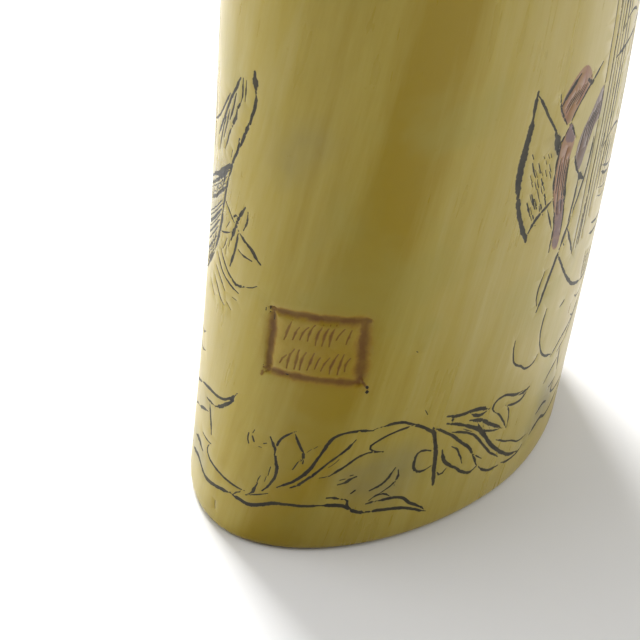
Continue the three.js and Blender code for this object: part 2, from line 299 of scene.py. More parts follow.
# One unit of the garland, as (inked width, points). The next unit follows it round the foot.
GARLAND = [
    # hanging leaf at the left
    (0.42, [(-10, 19.5), (-7.2, 20.8), (-3.1, 21.8), (-1.7, 22.6), (-0.2, 24.5)]),
    (0.5, [(-0.4, 24.1), (-1.2, 22.5), (-2.4, 21.1), (-4.4, 19.5)]),
    (0.4, [(-4.4, 19.5), (-5.8, 19.2), (-7.2, 18.9)]),
    (0.46, [(-6, 19.1), (-5.5, 17.4), (-5, 15.8), (-4.7, 14.2)]),
    (0.4, [(-10.3, 15), (-8.5, 16.1), (-6.2, 17.2)]),
    (0.4, [(-7.4, 12.5), (-6, 12.5), (-4.5, 12.8)]),
    # stem
    (0.42, [(-5, 12.3), (-5.4, 11.3), (-4.8, 10.3), (-3.8, 9.9), (-1, 9.35), (2.4, 8.9)]),
    (0.34, [(2, 9), (1.9, 8.5), (1.2, 8), (0.9, 7.5)]),
    (0.7, [(-10.6, 9.6), (-8.5, 10.2), (-6.8, 9.7)]),
    (0.62, [(-11.6, 6.4), (-9.8, 7.1), (-8, 7.5), (-6, 6.6), (-4.8, 6.4), (-3, 6.7), (0.4, 7.5)]),
    (0.54, [(0.3, 7.5), (1.9, 7.1), (3.4, 6.9), (4.8, 7.3), (6.4, 8), (7.6, 8.2), (10, 8.2), (13, 8.3)]),
    (0.58, [(12.6, 8.3), (15.6, 8.2), (16.4, 7.9), (17.2, 7.1), (18.2, 6.6), (20, 6.3)]),
    (0.46, [(19.4, 6.4), (22.4, 6.15), (24.7, 5.8), (28, 4.3), (29.4, 3.5)]),
    # sprig and bud
    (0.42, [(2.7, 8.3), (3.4, 8.9), (3.8, 9.8), (4.1, 11)]),
    (0.24, [(4, 11), (4.1, 11.7), (4.4, 12.4)]),
    (0.28, [(2.8, 8.3), (4.2, 9), (5.7, 9.7)]),
    (0.38, [(4.9, 9.9), (6, 11.8), (6.4, 13.3), (6.35, 15), (6, 16.5), (5.7, 18), (5.1, 19.4)]),
    (0.24, [(5.6, 14.4), (5.5, 13.7), (5.4, 12.8)]),
    (0.22, [(5.2, 12.6), (5.1, 11.6)]),
    (0.36, [(5.9, 16.4), (6, 17.8), (6.6, 19.5), (7.3, 20.2), (8.3, 21)]),
    (0.38, [(8.1, 20.9), (8.7, 19.5), (9.3, 18.2), (9.7, 16.9), (9.75, 15.6)]),
    (0.5, [(9.5, 17.4), (9.6, 16.7), (9.5, 16.1)]),
    (0.26, [(9.4, 16.3), (8.9, 15.3), (8.5, 14.4)]),
    (0.24, [(9.8, 17.3), (10.6, 18.2)]),
    (0.22, [(10.9, 18.3), (11.4, 18.7)]),
    (0.34, [(2.1, 19), (2.1, 18), (2.3, 17.3)]),
    (0.22, [(2.9, 19.9), (2.7, 19.2)]),
    (0.42, [(2.7, 18.7), (2.8, 18.2), (3, 17.9)]),
    (0.36, [(4.3, 18), (4.7, 18.2)]),
    (0.22, [(3.7, 17.3), (4.1, 17.3)]),
    # arching leaf
    (0.44, [(6.7, 11), (9.1, 12.6), (10.9, 15), (12.1, 17.8), (13.4, 20.2), (15.2, 21), (18.6, 20.8)]),
    (0.22, [(18.6, 20.9), (19.2, 21.2), (19.8, 21.3)]),
    (0.46, [(19.7, 21.3), (22, 21.5), (23.6, 21), (26, 19.7), (27.7, 18.5), (28.4, 17.2), (29, 15)]),
    (0.36, [(9.8, 12), (12, 14.5), (13.5, 16.2), (15.4, 18.2), (16.4, 19.7)]),
    (0.5, [(8.6, 11.2), (9.8, 12.1), (10.9, 13.3)]),
    (0.34, [(13.4, 13.5), (14.7, 14.5), (16.4, 16), (18, 17), (20.6, 16.9)]),
    (0.34, [(20.6, 16.8), (18.6, 17.9), (19.5, 18.9), (21.4, 19.8), (24.9, 20.5)]),
    (0.22, [(13.2, 15), (14, 15.7), (14.5, 16.4)]),
    (0.22, [(12.2, 13.2), (13.4, 13.6)]),
    (0.44, [(14.8, 11.9), (15.8, 12.2), (16.6, 12.8), (17.3, 13.1)]),
    (0.3, [(15, 12.7), (15.7, 12.8)]),
    (0.3, [(16.3, 13.3), (16.8, 13.4)]),
    (0.54, [(13.5, 9.6), (14.5, 9.6), (15.8, 9.2)]),
    (0.34, [(15.6, 9.3), (16.5, 9), (16.6, 8.2), (17.2, 7.3)]),
    (0.5, [(16.8, 10.1), (17.3, 10.1), (17.4, 10.6)]),
    # flame leaf
    (0.46, [(29.2, 3.6), (28.4, 4.7), (26.2, 6.3), (25.2, 7.3), (24, 7.9), (22.2, 8.1), (20.6, 8)]),
    (0.5, [(20.8, 8.2), (19.9, 8), (19.2, 7.9)]),
    (0.34, [(19.6, 8.4), (20.5, 9.1), (21.5, 9.2), (22.4, 8.8), (23, 8.2)]),
    (0.42, [(19.5, 10.2), (20.8, 10.8), (21.9, 11.7), (22.9, 13.5)]),
    (0.38, [(23.4, 13), (23.5, 11.7), (22.7, 10.5), (21.2, 9.4)]),
    (0.3, [(23.2, 11), (23.1, 10.2)]),
    # ring of the fan
    (0.68, [(28, 19), (28.5, 17), (29, 15), (29.4, 12), (29.8, 8.2)]),
    (0.4, [(28.3, 14.8), (27.2, 15.2), (26.1, 15), (25.8, 13.6), (26.1, 12.2), (27.2, 11.6), (28.8, 12)]),
    (1.0, [(31.1, 19.8), (31.2, 19.2), (31.1, 18.5)]),
    # ribs of the fan
    (0.44, [(28.2, 18.8), (30, 17.5), (32, 16), (33.6, 14.4), (35.8, 12.2), (38, 8.3)]),
    (0.36, [(31.5, 16.9), (35, 15.3), (37, 13.6), (39, 11.2), (41.5, 8.6), (43, 7.4)]),
    (0.58, [(30.2, 18.9), (33, 17.6), (36, 15.8), (38, 14), (39.5, 12), (43.5, 8), (46, 6.3),
            (48.5, 5.4)]),
    (0.3, [(32, 14.2), (33.2, 13.2), (34, 11.6), (34.8, 10)]),
    (0.26, [(34.8, 13.6), (36.2, 12)]),
    (0.26, [(36.5, 11), (38.9, 9.1)]),
    (0.26, [(33.6, 16.6), (35.4, 15.4)]),
    (0.28, [(41.5, 11.2), (43.5, 10), (46, 8.8), (48, 7.6), (50.5, 7.3)]),
    # scalloped lower edge of the fan
    (0.54, [(30.3, 14.2), (30.8, 12.6), (31.4, 11.6), (33.5, 9.8), (35, 8.5), (37, 7.6), (38, 8.1)]),
    (0.34, [(29.8, 10.8), (30.8, 9.7), (32, 10.8)]),
    (0.44, [(38.5, 7.8), (40, 6.5), (41.5, 5.8), (43.5, 5.6)]),
    (0.44, [(44.2, 5.7), (46, 5.1), (49, 5.2), (50, 5.8)]),
    # lobes of the fan
    (0.58, [(30, 20.2), (32, 19.6), (36, 19.1), (38.3, 18.2)]),
    (0.5, [(38.2, 18.2), (37, 17.9), (35.3, 18.3), (34.4, 19.1)]),
    (0.56, [(34.5, 17.8), (37, 16.8), (39, 15.2), (41, 13.9), (42.5, 12.9)]),
    (0.36, [(42.3, 13), (40, 13.6), (38.2, 14.4), (37, 15.5), (36.2, 16.8)]),
    (0.24, [(37.4, 16.6), (38, 14.8)]),
    (0.24, [(38.5, 15.6), (39.2, 14.3)]),
    (0.24, [(39.8, 14.8), (40.5, 13.8)]),
    # curling tip of the fan
    (0.46, [(39.6, 17), (39.1, 17.8), (39.6, 18.8), (40.8, 19.1), (42, 18.9), (44, 18), (46, 17.6)]),
    (0.66, [(45.2, 17.4), (46.6, 17.2), (47.9, 17.4)]),
    (0.44, [(47.6, 17.1), (46, 16.1), (44, 16.3), (42.2, 16.9)]),
    (0.32, [(39.8, 16.8), (41, 15.9), (42.2, 14.4), (43.6, 12.3)]),
    (0.32, [(42.2, 17), (43.2, 15.5), (43.7, 12.5)]),
]
# The first leaf's tail, which the unit before it hides everywhere else.
GARLAND_TAIL = [
    (0.42, [(-15, 16.2), (-12.4, 18), (-9.8, 19.6)]),
    (0.3, [(-14, 12.6), (-12, 14.2), (-10.2, 15.1)]),
]

# Fore part of the ship on the side facing -Y: jib, edges of the bands, stem, hawser loop and bow waves.
FRONT_FORE = [
    (0.85, [(37.1, 67.7), (36.9, 66), (36.8, 64)]),
    (1.05, [(36.8, 64.4), (36.6, 62.4), (36, 59), (35.7, 55.6), (36, 53)]),
    (0.8, [(35.9, 53.4), (36.6, 51), (37.7, 48.1), (38.7, 46)]),
    (1.1, [(38.6, 46.6), (38.9, 46), (39.1, 45.3)]),
    (0.42, [(37.3, 67), (38.6, 65.2), (40.2, 62.8), (41.6, 60.8), (42.6, 59.4)]),
    (1.1, [(41.9, 60), (42.6, 58.6), (43.1, 56.8)]),
    (0.62, [(39.3, 46.5), (40.1, 47.6), (41.4, 48.6), (42.6, 49.2), (43.8, 49.8)]),
    (0.42, [(44.7, 59.7), (43.7, 58.3), (43.3, 56), (43.3, 52.5), (43.7, 50.2)]),
    (0.4, [(43.6, 50.4), (44.5, 47.8), (45.2, 45), (45.3, 41)]),
    (0.36, [(42.9, 48.6), (43.8, 46.7), (44.7, 44.9)]),
    (0.4, [(45.3, 60.3), (46.2, 58.9), (47, 57.6)]),
    (0.36, [(46.3, 54.6), (46.4, 52), (46.7, 49.6), (47.4, 45.4), (47.5, 42.8)]),
    (0.46, [(44.9, 60.2), (46.2, 61.8), (47.6, 63.1), (49, 64.1), (52, 66)]),
    (1.1, [(48.2, 65.2), (48.8, 64.7), (49.6, 64.2)]),
    (0.34, [(41.9, 65.6), (42.1, 64), (42.9, 62.4), (44.2, 60.5)]),
    (0.6, [(42.4, 63.8), (43.6, 65), (46, 66.8)]),
    (0.5, [(47.8, 54.5), (48.5, 52.9), (49.8, 51.2)]),
    (0.9, [(49.6, 51.4), (50.6, 50.3), (51.7, 49.6)]),
    (0.46, [(53, 55), (52.9, 53), (52.3, 50.2), (51.3, 47.4), (50, 44.4)]),
    (0.5, [(50, 50), (49.9, 47.4), (49.5, 45), (49.3, 43)]),
    (0.64, [(50, 44.4), (49, 42.1), (48.2, 40.1)]),
    (0.62, [(48.2, 40.2), (47.4, 37.8), (46.4, 35.2), (45.1, 31.4)]),
    (0.34, [(45.2, 37.9), (44.6, 36), (44.4, 34.2), (44.8, 32.6)]),
    (0.46, [(48.2, 39.2), (49.6, 37.4), (51.4, 35.1), (53.5, 32.9), (56.4, 30.5), (61, 28.5)]),
    (0.44, [(49.7, 42.6), (50.8, 40.8), (51.9, 39.2), (53.1, 37.2)]),
    (0.34, [(48.8, 41), (49.6, 40.1)]),
    (0.36, [(41.2, 28.5), (41.2, 26.9), (42.1, 24.2), (43.8, 23), (45.5, 21.8), (47.4, 21.8),
            (48.3, 22.8)]),
    (0.34, [(48.1, 30.5), (47.7, 28.2), (47.9, 25.8), (49.1, 23.1), (51, 21.1), (53.6, 20)]),
    (0.8, [(53, 28.4), (54.3, 28.8)]),
]

# Coloured bands of the front ship: (pigment, strength, closed outline, path that its strokes follow).
FRONT_BANDS = [
    (
        "red", 1.0,
        [(44.6, 59.6), (43.6, 57.6), (43.4, 53.8), (43.7, 50.4), (44.8, 47.4), (45.4, 44.6), (45.8, 41.6),
         (47.2, 40.8), (47.5, 43.8), (46.8, 48.1), (46.4, 51.5), (46.4, 55), (46.9, 57.6), (45.4, 60.2)],
        [(45.6, 59), (45, 55), (45.2, 50.4), (46.3, 44.4)],
    ),
    ("purple", 0.8, [(44.6, 59.8), (44.4, 58.2), (45.4, 57.4), (46.8, 57.2), (45.6, 60.2)], []),
    ("purple", 0.6, [(44.8, 48.6), (45.4, 44.6), (45.8, 41.6), (47.3, 41), (47.5, 43.8), (46.7, 48.6)], []),
    (
        "red", 1.0,
        [(42.1, 63.8), (43.8, 60.9), (44.8, 60.5), (47, 62.6), (49.4, 64.4), (47.6, 67.4), (45, 67)],
        [(43.8, 62), (45.6, 63.8), (48.2, 66)],
    ),
    (
        "purple", 0.85,
        [(53.6, 62.2), (50.4, 59.4), (48.4, 57), (47.8, 54.6), (48.6, 52.6), (49.8, 51.6), (51, 54),
         (52.4, 56.8), (54, 58)],
        [(52.8, 60.4), (50.6, 57.4), (49.4, 53)],
    ),
]

# Fore part of the ship on the side facing +Y: fore sail, stem, anchor and bow waves.
BACK_FORE = [
    (0.8, [(-1.1, 73.8), (-1, 72.4), (-0.85, 71)]),
    (0.46, [(-0.85, 71.2), (-0.75, 70), (-1.3, 67), (-2.3, 64.4), (-3.5, 61.4), (-4.5, 59), (-5.3, 56)]),
    (0.66, [(-1.8, 66.2), (-2.1, 65.4), (-2.2, 64.7)]),
    (0.64, [(-3.3, 63.2), (-3.4, 62.3), (-3.5, 61.4)]),
    (0.42, [(-5.2, 56.4), (-6.1, 53), (-6.5, 50.2)]),
    (0.6, [(-6.4, 50.6), (-6.9, 47.6), (-7.6, 45.2), (-8.6, 42.8)]),
    (0.42, [(-3.7, 71.8), (-4.4, 70.2), (-5.7, 67.7), (-7, 65), (-8.3, 62.6), (-9.6, 60.2)]),
    (0.36, [(-6, 68.2), (-7.6, 65.7), (-9.8, 62.8), (-13, 60.4)]),
    (0.28, [(-3.2, 72), (-3.15, 69.6), (-3.5, 68.2)]),
    (0.22, [(-2.5, 72), (-2.5, 70.5), (-2.6, 68.9)]),
    (0.8, [(-3.6, 68), (-4, 67.3)]),
    (0.6, [(-4.1, 67), (-4.3, 65.8), (-5.1, 64)]),
    (0.8, [(-4.5, 65.5), (-4.9, 64.6)]),
    (0.34, [(-4.5, 69), (-4.9, 67.2), (-5.8, 64.6)]),
    (0.3, [(-5.1, 64), (-5.9, 62.2), (-6.8, 59.6)]),
    (0.3, [(-6.7, 65), (-7.7, 62.5), (-8.8, 58.4)]),
    (0.26, [(-5.9, 66), (-6.6, 63.6), (-7.4, 61)]),
    (0.22, [(-4.7, 60.9), (-4.9, 59.6)]),
    (0.66, [(-4.6, 58.7), (-6, 57.2), (-8.1, 55.1), (-11, 53.4)]),
    (0.38, [(-5.9, 52.4), (-4.8, 51.7), (-3.8, 50.8), (-3, 50.2)]),
    (0.6, [(-1.4, 54), (-2, 52.8), (-2.6, 51.4)]),
    (1.0, [(-2.3, 52.3), (-2.7, 51.3), (-2.95, 50.3)]),
    (0.5, [(-3.6, 51.3), (-3, 51.9), (-2.4, 52.2)]),
    (0.6, [(-2.9, 50.4), (-3.4, 48.9), (-3.9, 47.5)]),
    (0.52, [(-2.4, 49.9), (-1.2, 49), (-0.1, 48.3), (0.8, 47.2), (1.5, 46.5)]),
    (0.4, [(-2.3, 49.8), (-2.6, 47.9), (-3.1, 45.6), (-3.7, 43.5)]),
    (0.34, [(-0.9, 53.6), (-0.9, 52.2), (-1.2, 51.2), (-1.5, 50.4)]),
    (0.38, [(-2.2, 47), (-1.3, 46.6), (0.2, 46.5)]),
    (0.3, [(-7, 47), (-5.6, 47.6), (-4.6, 48.2), (-3.8, 48.8)]),
    (0.22, [(-4.4, 50), (-5.1, 48.6)]),
    (0.24, [(-4.8, 47.2), (-5.2, 46), (-5.8, 44.9)]),
    (0.2, [(-4.1, 47.4), (-4.3, 46.2)]),
    (0.22, [(-4.8, 46), (-4.9, 44.6)]),
    (0.4, [(-6.3, 44.6), (-5, 43.2), (-3.2, 41.9), (-1.9, 41.5), (-0.7, 42)]),
    (0.5, [(-2, 41.6), (-1.2, 41.9)]),
    (0.22, [(-0.7, 42), (0.3, 42.3), (1.2, 43)]),
    (0.34, [(-7.3, 43.4), (-6.3, 42.3), (-5, 41.3), (-3.4, 40.8), (-1.6, 40.4)]),
    (0.3, [(-7.5, 41), (-6, 40.2), (-4.4, 39)]),
    (0.32, [(-7.8, 39.2), (-6.4, 38), (-5.6, 37.2), (-4.3, 36.6)]),
    (0.24, [(-9.5, 37.6), (-7.4, 36.2)]),
    (0.22, [(-3.9, 37.5), (-2.8, 36.9)]),
    (0.22, [(-2.7, 39.1), (-1.8, 39.1)]),
]


def inked(table):
    """The lines of a table of (inked width, points)."""
    return [Line(points, width) for width, points in table]


def blend(a, b, share):
    return tuple(p + (q - p) * share for p, q in zip(a, b))


def on_path(points, share):
    """The place a share of the way along a path of a few points."""
    whole = share * (len(points) - 1)
    i = min(int(whole), len(points) - 2)
    return blend(points[i], points[i + 1], whole - i)


def bowed(a, b, bow, count=4):
    """Points from a to b, pushed sideways by bow at the middle."""
    side = Vector((a[1] - b[1], b[0] - a[0])).normalized() * bow
    shares = [i / count for i in range(count + 1)]
    return [
        tuple(Vector(blend(a, b, t)) + side * 4 * t * (1 - t))
        for t in shares
    ]


class Ship:
    """A three-masted ship, side on. Each mast is (its top, half the width of its lowest sail)."""

    SAILS = 3  # square sails on each mast
    STITCH_ROW = 2.4  # mm between the rows of stitches in a sail
    STITCH_COLUMN = 1.7  # mm between the stitches of a row

    def __init__(self, chance, deck, keel, masts, strakes=9):
        self.chance = chance
        self.strakes = strakes
        self.deck = deck
        self.keel = keel
        self.masts = masts

    def planks(self, count):
        """Strakes fanned out between the deck and the keel, broken here and there."""
        lines = []
        for i in range(1, count):
            level = (i + self.chance.uniform(-0.25, 0.25)) / count
            strake = [
                blend(on_path(self.deck, t / 8), on_path(self.keel, t / 8), level) for t in range(9)
            ]
            begin = 0
            while begin < 8:
                end = min(8, begin + self.chance.choice((2, 3, 4)))
                if self.chance.random() < 0.92:
                    width = self.chance.choice((0.18, 0.26, 0.34, 0.46))
                    lines.append(Line(strake[begin:end + 1], width))
                begin = end
        return lines

    def hatching(self, count, low, high):
        """Short slanted cuts that darken the hull between two levels."""
        lines = []
        for i in range(count):
            t = (i + self.chance.random()) / count
            aft = min(1, t + 0.03)
            top = blend(on_path(self.deck, t), on_path(self.keel, t), low)
            foot = blend(on_path(self.deck, aft), on_path(self.keel, aft), high)
            lines.append(Line([top, blend(top, foot, 0.5), foot], self.chance.uniform(0.2, 0.32)))
        return lines

    def hull(self):
        rail = [(w, s + 1.1) for w, s in self.deck]
        lines = [Line(self.deck, 0.5), Line(rail, 0.36), Line(self.keel, 0.5)]
        lines.append(Line([self.deck[-1], blend(self.deck[-1], self.keel[-1], 0.5), self.keel[-1]], 0.5))
        lines += self.planks(self.strakes)
        return lines + self.hatching(34, 0.72, 1.0) + self.hatching(22, 0.0, 0.2)

    def sail(self, foot, head, half_foot, half_head, lean):
        """A square sail: yard, bellied foot, two leeches and a scatter of short stitches."""
        a = (foot[0] - half_foot, foot[1])
        b = (foot[0] + half_foot, foot[1])
        c = (head[0] + half_head, head[1])
        d = (head[0] - half_head, head[1])
        lines = [
            Line(bowed(a, b, 1.5), 0.4),
            Line(bowed(b, c, -0.8), 0.36),
            Line(bowed(a, d, -0.8), 0.36),
            Line([blend(d, c, -0.08), blend(d, c, 0.5), blend(d, c, 1.08)], 0.55),
        ]
        rows = max(3, int((head[1] - foot[1]) / self.STITCH_ROW))
        columns = max(4, int(half_foot * 2 / self.STITCH_COLUMN))
        for row in range(rows):
            for column in range(columns):
                if self.chance.random() < 0.3:
                    continue
                u = (column + self.chance.uniform(0.2, 0.8)) / columns
                v = (row + self.chance.uniform(0.25, 0.75)) / rows
                start = blend(blend(a, b, u), blend(d, c, u), 0.1 + v * 0.8)
                reach = self.chance.uniform(0.5, 1.1)
                end = (start[0] + lean * reach, start[1] + reach)
                lines.append(Line([start, blend(start, end, 0.5), end], self.chance.uniform(0.2, 0.32)))
        return lines

    def rig(self):
        lines = []
        for (w, top), half in self.masts:
            t = min(1, max(0, abs(w - self.deck[0][0]) / abs(self.deck[-1][0] - self.deck[0][0])))
            foot = on_path(self.deck, t)[1]
            low = foot + 5.0
            rise = (top - low - 3) / self.SAILS
            lines.append(Line([(w, foot), (w, low + 0.4)], 0.6))
            lines.append(Line([(w, top - 4.5), (w, top)], 0.45))
            lines += self.shrouds(w, foot, low + rise * 0.4, half * 0.75)
            for i in range(self.SAILS):
                narrow = 1 - 0.2 * i
                wide = half * narrow
                foot_at = (w, low + rise * i)
                head_at = (w, low + rise * (i + 0.84))
                lines += self.sail(foot_at, head_at, wide, wide * 0.82, 0.25)
            pennant = [(w, top), (w + 1.6, top + 0.5), (w + 3.2, top - 0.3), (w + 5, top + 0.3)]
            lines.append(Line(pennant, 0.55))
        return lines

    def shrouds(self, w, foot, top, spread):
        lines = []
        for side in (-1, 1):
            for k in range(3):
                base = (w + side * spread * (0.45 + 0.3 * k), foot + 1)
                lines.append(Line([base, blend(base, (w, top), 0.4)], 0.2))
        return lines

    def sea(self, low, first, last, rows=2):
        """Short waves under the hull."""
        lines = []
        for row in range(rows):
            w = first + self.chance.uniform(0, 3)
            while w < last:
                wide = self.chance.uniform(4, 7)
                s = low - row * 2.6 + self.chance.uniform(-0.5, 0.5)
                lines.append(Line([(w, s + 0.9), (w + wide * 0.3, s), (w + wide * 0.65, s + 0.1),
                                   (w + wide, s + 1.2)], self.chance.uniform(0.28, 0.42)))
                w += wide + self.chance.uniform(1.5, 4)
        return lines


def stitches(chance, corners, rows, columns, lean, skip=0.25):
    """Rows of short cuts inside a four-cornered sail, a few of them long and heavy."""
    a, b, c, d = corners
    lines = []
    for row in range(rows):
        for column in range(columns):
            if chance.random() < skip:
                continue
            u = (column + chance.uniform(0.15, 0.85)) / columns
            v = (row + chance.uniform(0.15, 0.85)) / rows
            start = blend(blend(a, b, u), blend(d, c, u), v)
            heavy = chance.random() < 0.22
            reach = chance.uniform(1.6, 3.0) if heavy else chance.uniform(0.5, 1.5)
            end = (start[0] + lean * reach, start[1] - reach)
            width = chance.uniform(0.36, 0.5) if heavy else chance.uniform(0.18, 0.3)
            lines.append(Line([start, blend(start, end, 0.5), end], width))
    return lines


BAND_STROKES = 5  # strokes side by side along a coloured band


def band_strokes(chance, spine):
    """Thin cuts that run along a coloured band, side by side."""
    lines = []
    spread = 1.0 if len(spine) > 3 else 1.3  # a long band is a narrow one
    for i in range(BAND_STROKES):
        across = (i / (BAND_STROKES - 1) - 0.5) * 2 * spread
        begin = chance.uniform(0, 0.35)
        end = chance.uniform(0.6, 1.0)
        shares = [begin + (end - begin) * k / 4 for k in range(5)]
        path = [(w + across, s) for w, s in (on_path(spine, share) for share in shares)]
        lines.append(Line(path, chance.uniform(0.16, 0.3)))
    return lines


def stays(chance, feet, heads, count):
    """Taut lines from points on one path up to points on another."""
    lines = []
    for i in range(count):
        t = (i + chance.uniform(-0.2, 0.2)) / (count - 1)
        foot = on_path(feet, min(1, max(0, t)))
        head = on_path(heads, min(1, max(0, t)))
        path = bowed(foot, head, chance.uniform(-0.5, 0.5))
        lines.append(Line(path, chance.choice((0.22, 0.28, 0.36, 0.46))))
    return lines


def front_ship(chance):
    lines = inked(FRONT_FORE)
    lines += stitches(chance, [(37.9, 50.5), (42.4, 51.5), (41.8, 57.5), (37.4, 60)], 6, 6, 0.45, 0.2)
    lines += stitches(chance, [(38.7, 48.2), (41.6, 50), (41.8, 52.4), (38.0, 51)], 2, 4, 0.45)
    for _, _, _, spine in FRONT_BANDS:
        if spine:
            lines += band_strokes(chance, spine)
    lines += stays(chance, [(53.2, 37), (56, 38), (60.5, 47)], [(54.6, 76), (58.4, 88), (62, 100)], 7)
    deck = [(60, 46.4), (64, 44.6), (69, 44), (74, 44.6), (79, 46), (83, 48), (87, 51)]
    keel = [(61, 28.5), (64, 28), (68, 27.8), (72, 28), (76, 28.4), (80, 29.6), (84.5, 32)]
    ship = Ship(chance, deck, keel, [((62, 103), 5.0), ((71.5, 110), 6.2), ((81.5, 96), 5.0)])
    lines += ship.hull() + ship.rig() + ship.sea(25.5, 58, 90)
    return lines


def back_ship(chance):
    lines = inked(BACK_FORE)
    deck = [(-5.2, 57.4), (-9, 53.6), (-14, 50), (-22, 46.4), (-32, 45), (-42, 46), (-50, 49.4)]
    keel = [(-8.8, 42.2), (-12, 38.2), (-17, 34), (-25, 31), (-33, 30.4), (-41, 31.2), (-48, 34)]
    ship = Ship(chance, deck, keel, [((-18, 101), 5.6), ((-30, 110), 6.8), ((-43, 97), 5.6)], strakes=15)
    lines += ship.hull() + ship.rig() + ship.sea(27, -52, -14)
    return lines


# ---- The cartouche ----
# Each side of the sunken frame: its ends, its width, and its depth against an ordinary line.
FRAME = [
    ((3.4, 30.6), (16.2, 29.3), 1.3, 3.0),
    ((15.7, 29.2), (15.5, 39.5), 1.9, 5.0),
    ((3.4, 40.4), (16.2, 39.3), 1.5, 4.0),
    ((3.75, 30.2), (3.75, 40.6), 1.1, 5.0),
]
# Worn places of the frame: width, depth against an ordinary line, and points.
FRAME_WEAR = [
    (0.6, 5.0, [(3.5, 30), (3.55, 33), (3.6, 36.5)]),
    (0.7, 5.0, [(15.2, 39.2), (15.2, 37), (15.4, 34.6)]),
    (0.7, 1.0, [(3.3, 30.6), (3, 29.9), (2.9, 29.3)]),
    (0.9, 1.0, [(15.8, 30.2), (16.3, 29.2), (16.9, 28.3)]),
]
# Ink caught at the frame's corners, in the same terms.
FRAME_INK = [
    (0.34, 1.0, [(3.25, 40.5), (3.3, 40), (3.35, 39.6)]),
    (0.3, 1.0, [(2.8, 40.3), (2.85, 39.8)]),
    (0.22, 1.0, [(3.75, 39.6), (3.8, 39), (3.8, 38.4)]),
    (1.15, 3.0, [(16.8, 28.5), (16.85, 28.1), (16.95, 27.7)]),
    (0.4, 1.0, [(6.1, 30.25), (6.4, 30.2)]),
    (0.24, 1.0, [(3.1, 31), (3.1, 30.6)]),
]
# Rows of strokes inside the frame: foot, head, first and last place round the tooth, and count.
STROKE_ROWS = [(36.0, 39.4, 5.3, 14.0, 9), (31.6, 34.9, 5.0, 14.4, 10)]


def cartouche(chance):
    """A sunken frame with two rows of shallow strokes, stained brown."""
    lines = []
    for a, b, width, depth in FRAME:
        lines.append(Line([blend(a, b, k / 6) for k in range(7)], width, "sienna", depth))
    lines += [Line(points, width, "sienna", depth) for width, depth, points in FRAME_WEAR]
    for low, high, first, last, count in STROKE_ROWS:
        for i in range(count):
            w = first + (last - first) * (i + chance.uniform(0.3, 0.7)) / count
            drop = (w - 3.65) * 0.07
            short = chance.choice((0.0, 0.25, 0.5))
            lean = chance.uniform(0.5, 1.0)
            a = (w - lean / 2, low - drop + (high - low) * short * chance.random())
            b = (w + lean / 2, high - drop - (high - low) * short * chance.random())
            lines.append(Line(bowed(a, b, chance.uniform(0.0, 0.25), 3), 0.36, "sienna", 1.6))
    lines += [Line(points, width, "ink", depth) for width, depth, points in FRAME_INK]
    return lines


# Small marks that the casting and its use have left.
ODD_MARKS = [
    (0.34, [(23.1, 33.2), (23.3, 33)]),
    (0.26, [(26, 22.6), (26.3, 22.1), (26.6, 21.7)]),
    (0.24, [(-2.1, 4.5), (-2.1, 3.8), (-2, 3.1)]),
]

# Stains that spread between the cuts: (pigment, strength, width of the soft edge, closed outline).
STAINS = [
    ("sienna", 0.22, 1.2, [(3.6, 30.4), (15.8, 29.6), (15.8, 39.4), (3.6, 40.4)]),
    ("sienna", 0.26, 1.4, [(14.4, 28.8), (17.2, 28), (16.6, 36), (16.6, 39.6), (14.8, 40)]),
    ("grime", 0.5, 0.8, [(41.9, 60), (43.3, 58.3), (43, 56.3), (42.2, 57.6)]),
    ("grime", 0.3, 1.6, [(14, 13), (17, 15.4), (22, 17), (26.5, 16), (26, 10), (22, 7), (17, 9)]),
    ("grime", 0.45, 1.2, [(19.6, 9), (22.4, 9.6), (23.4, 12.4), (22.4, 12), (21, 10.4)]),
    ("grime", 0.5, 1.8, [(50.5, 6.4), (54, 7), (60, 7.6), (58, 13), (54.5, 15), (52.6, 10)]),
    ("grime", 0.4, 1.6, [(-13, 6), (-9, 6.4), (-5.6, 7), (-6.4, 9.6), (-9, 10.4), (-13, 9.6)]),
    ("grime", 0.3, 1.6, [(-12, 15), (-8, 16.4), (-5.6, 18.6), (-8, 19.6), (-12.4, 17.4)]),
    ("grime", 0.35, 1.6,
     [(-14, 53), (-9.6, 55), (-5.4, 57.6), (-6.4, 52), (-8.4, 44), (-11, 43), (-14, 45)]),
    ("grime", 0.35, 1.5, [(-4.2, 68.6), (-5.4, 64), (-7.4, 59), (-8.8, 58), (-8, 62), (-6, 67)]),
    ("grime", 0.28, 2.2, [(2.6, 62), (4.6, 60.4), (6.6, 63.4), (8.6, 66), (6.4, 68.4), (3.8, 66)]),
    ("grime", 0.3, 1.6, [(49.2, 51), (53, 55.6), (54.4, 60), (55.6, 58), (54, 50), (51.6, 46)]),
    ("grime", 0.3, 1.4, [(52.4, 46), (54.2, 46), (55.4, 36), (53.4, 35.6)]),
    ("grime", 0.3, 1.2, [(56.2, 62), (57.4, 61), (57.6, 42), (56.4, 38)]),
]


# ---- Geometry trees ----
def new_tree(name, inputs):
    """A geometry tree with a geometry way in and out and the inputs named."""
    tree = bpy.data.node_groups.new(name, "GeometryNodeTree")
    face = tree.interface
    face.new_socket("Geometry", in_out="INPUT", socket_type="NodeSocketGeometry")
    for title, kind, default in inputs:
        face.new_socket(title, in_out="INPUT", socket_type=kind).default_value = default
    face.new_socket("Material", in_out="INPUT", socket_type="NodeSocketMaterial")
    face.new_socket("Geometry", in_out="OUTPUT", socket_type="NodeSocketGeometry")
    nodes = Nodes(tree)
    way_in = nodes.add("NodeGroupInput")
    given = {socket.name: Value(nodes, socket) for socket in way_in.outputs if socket.name}
    return nodes, given


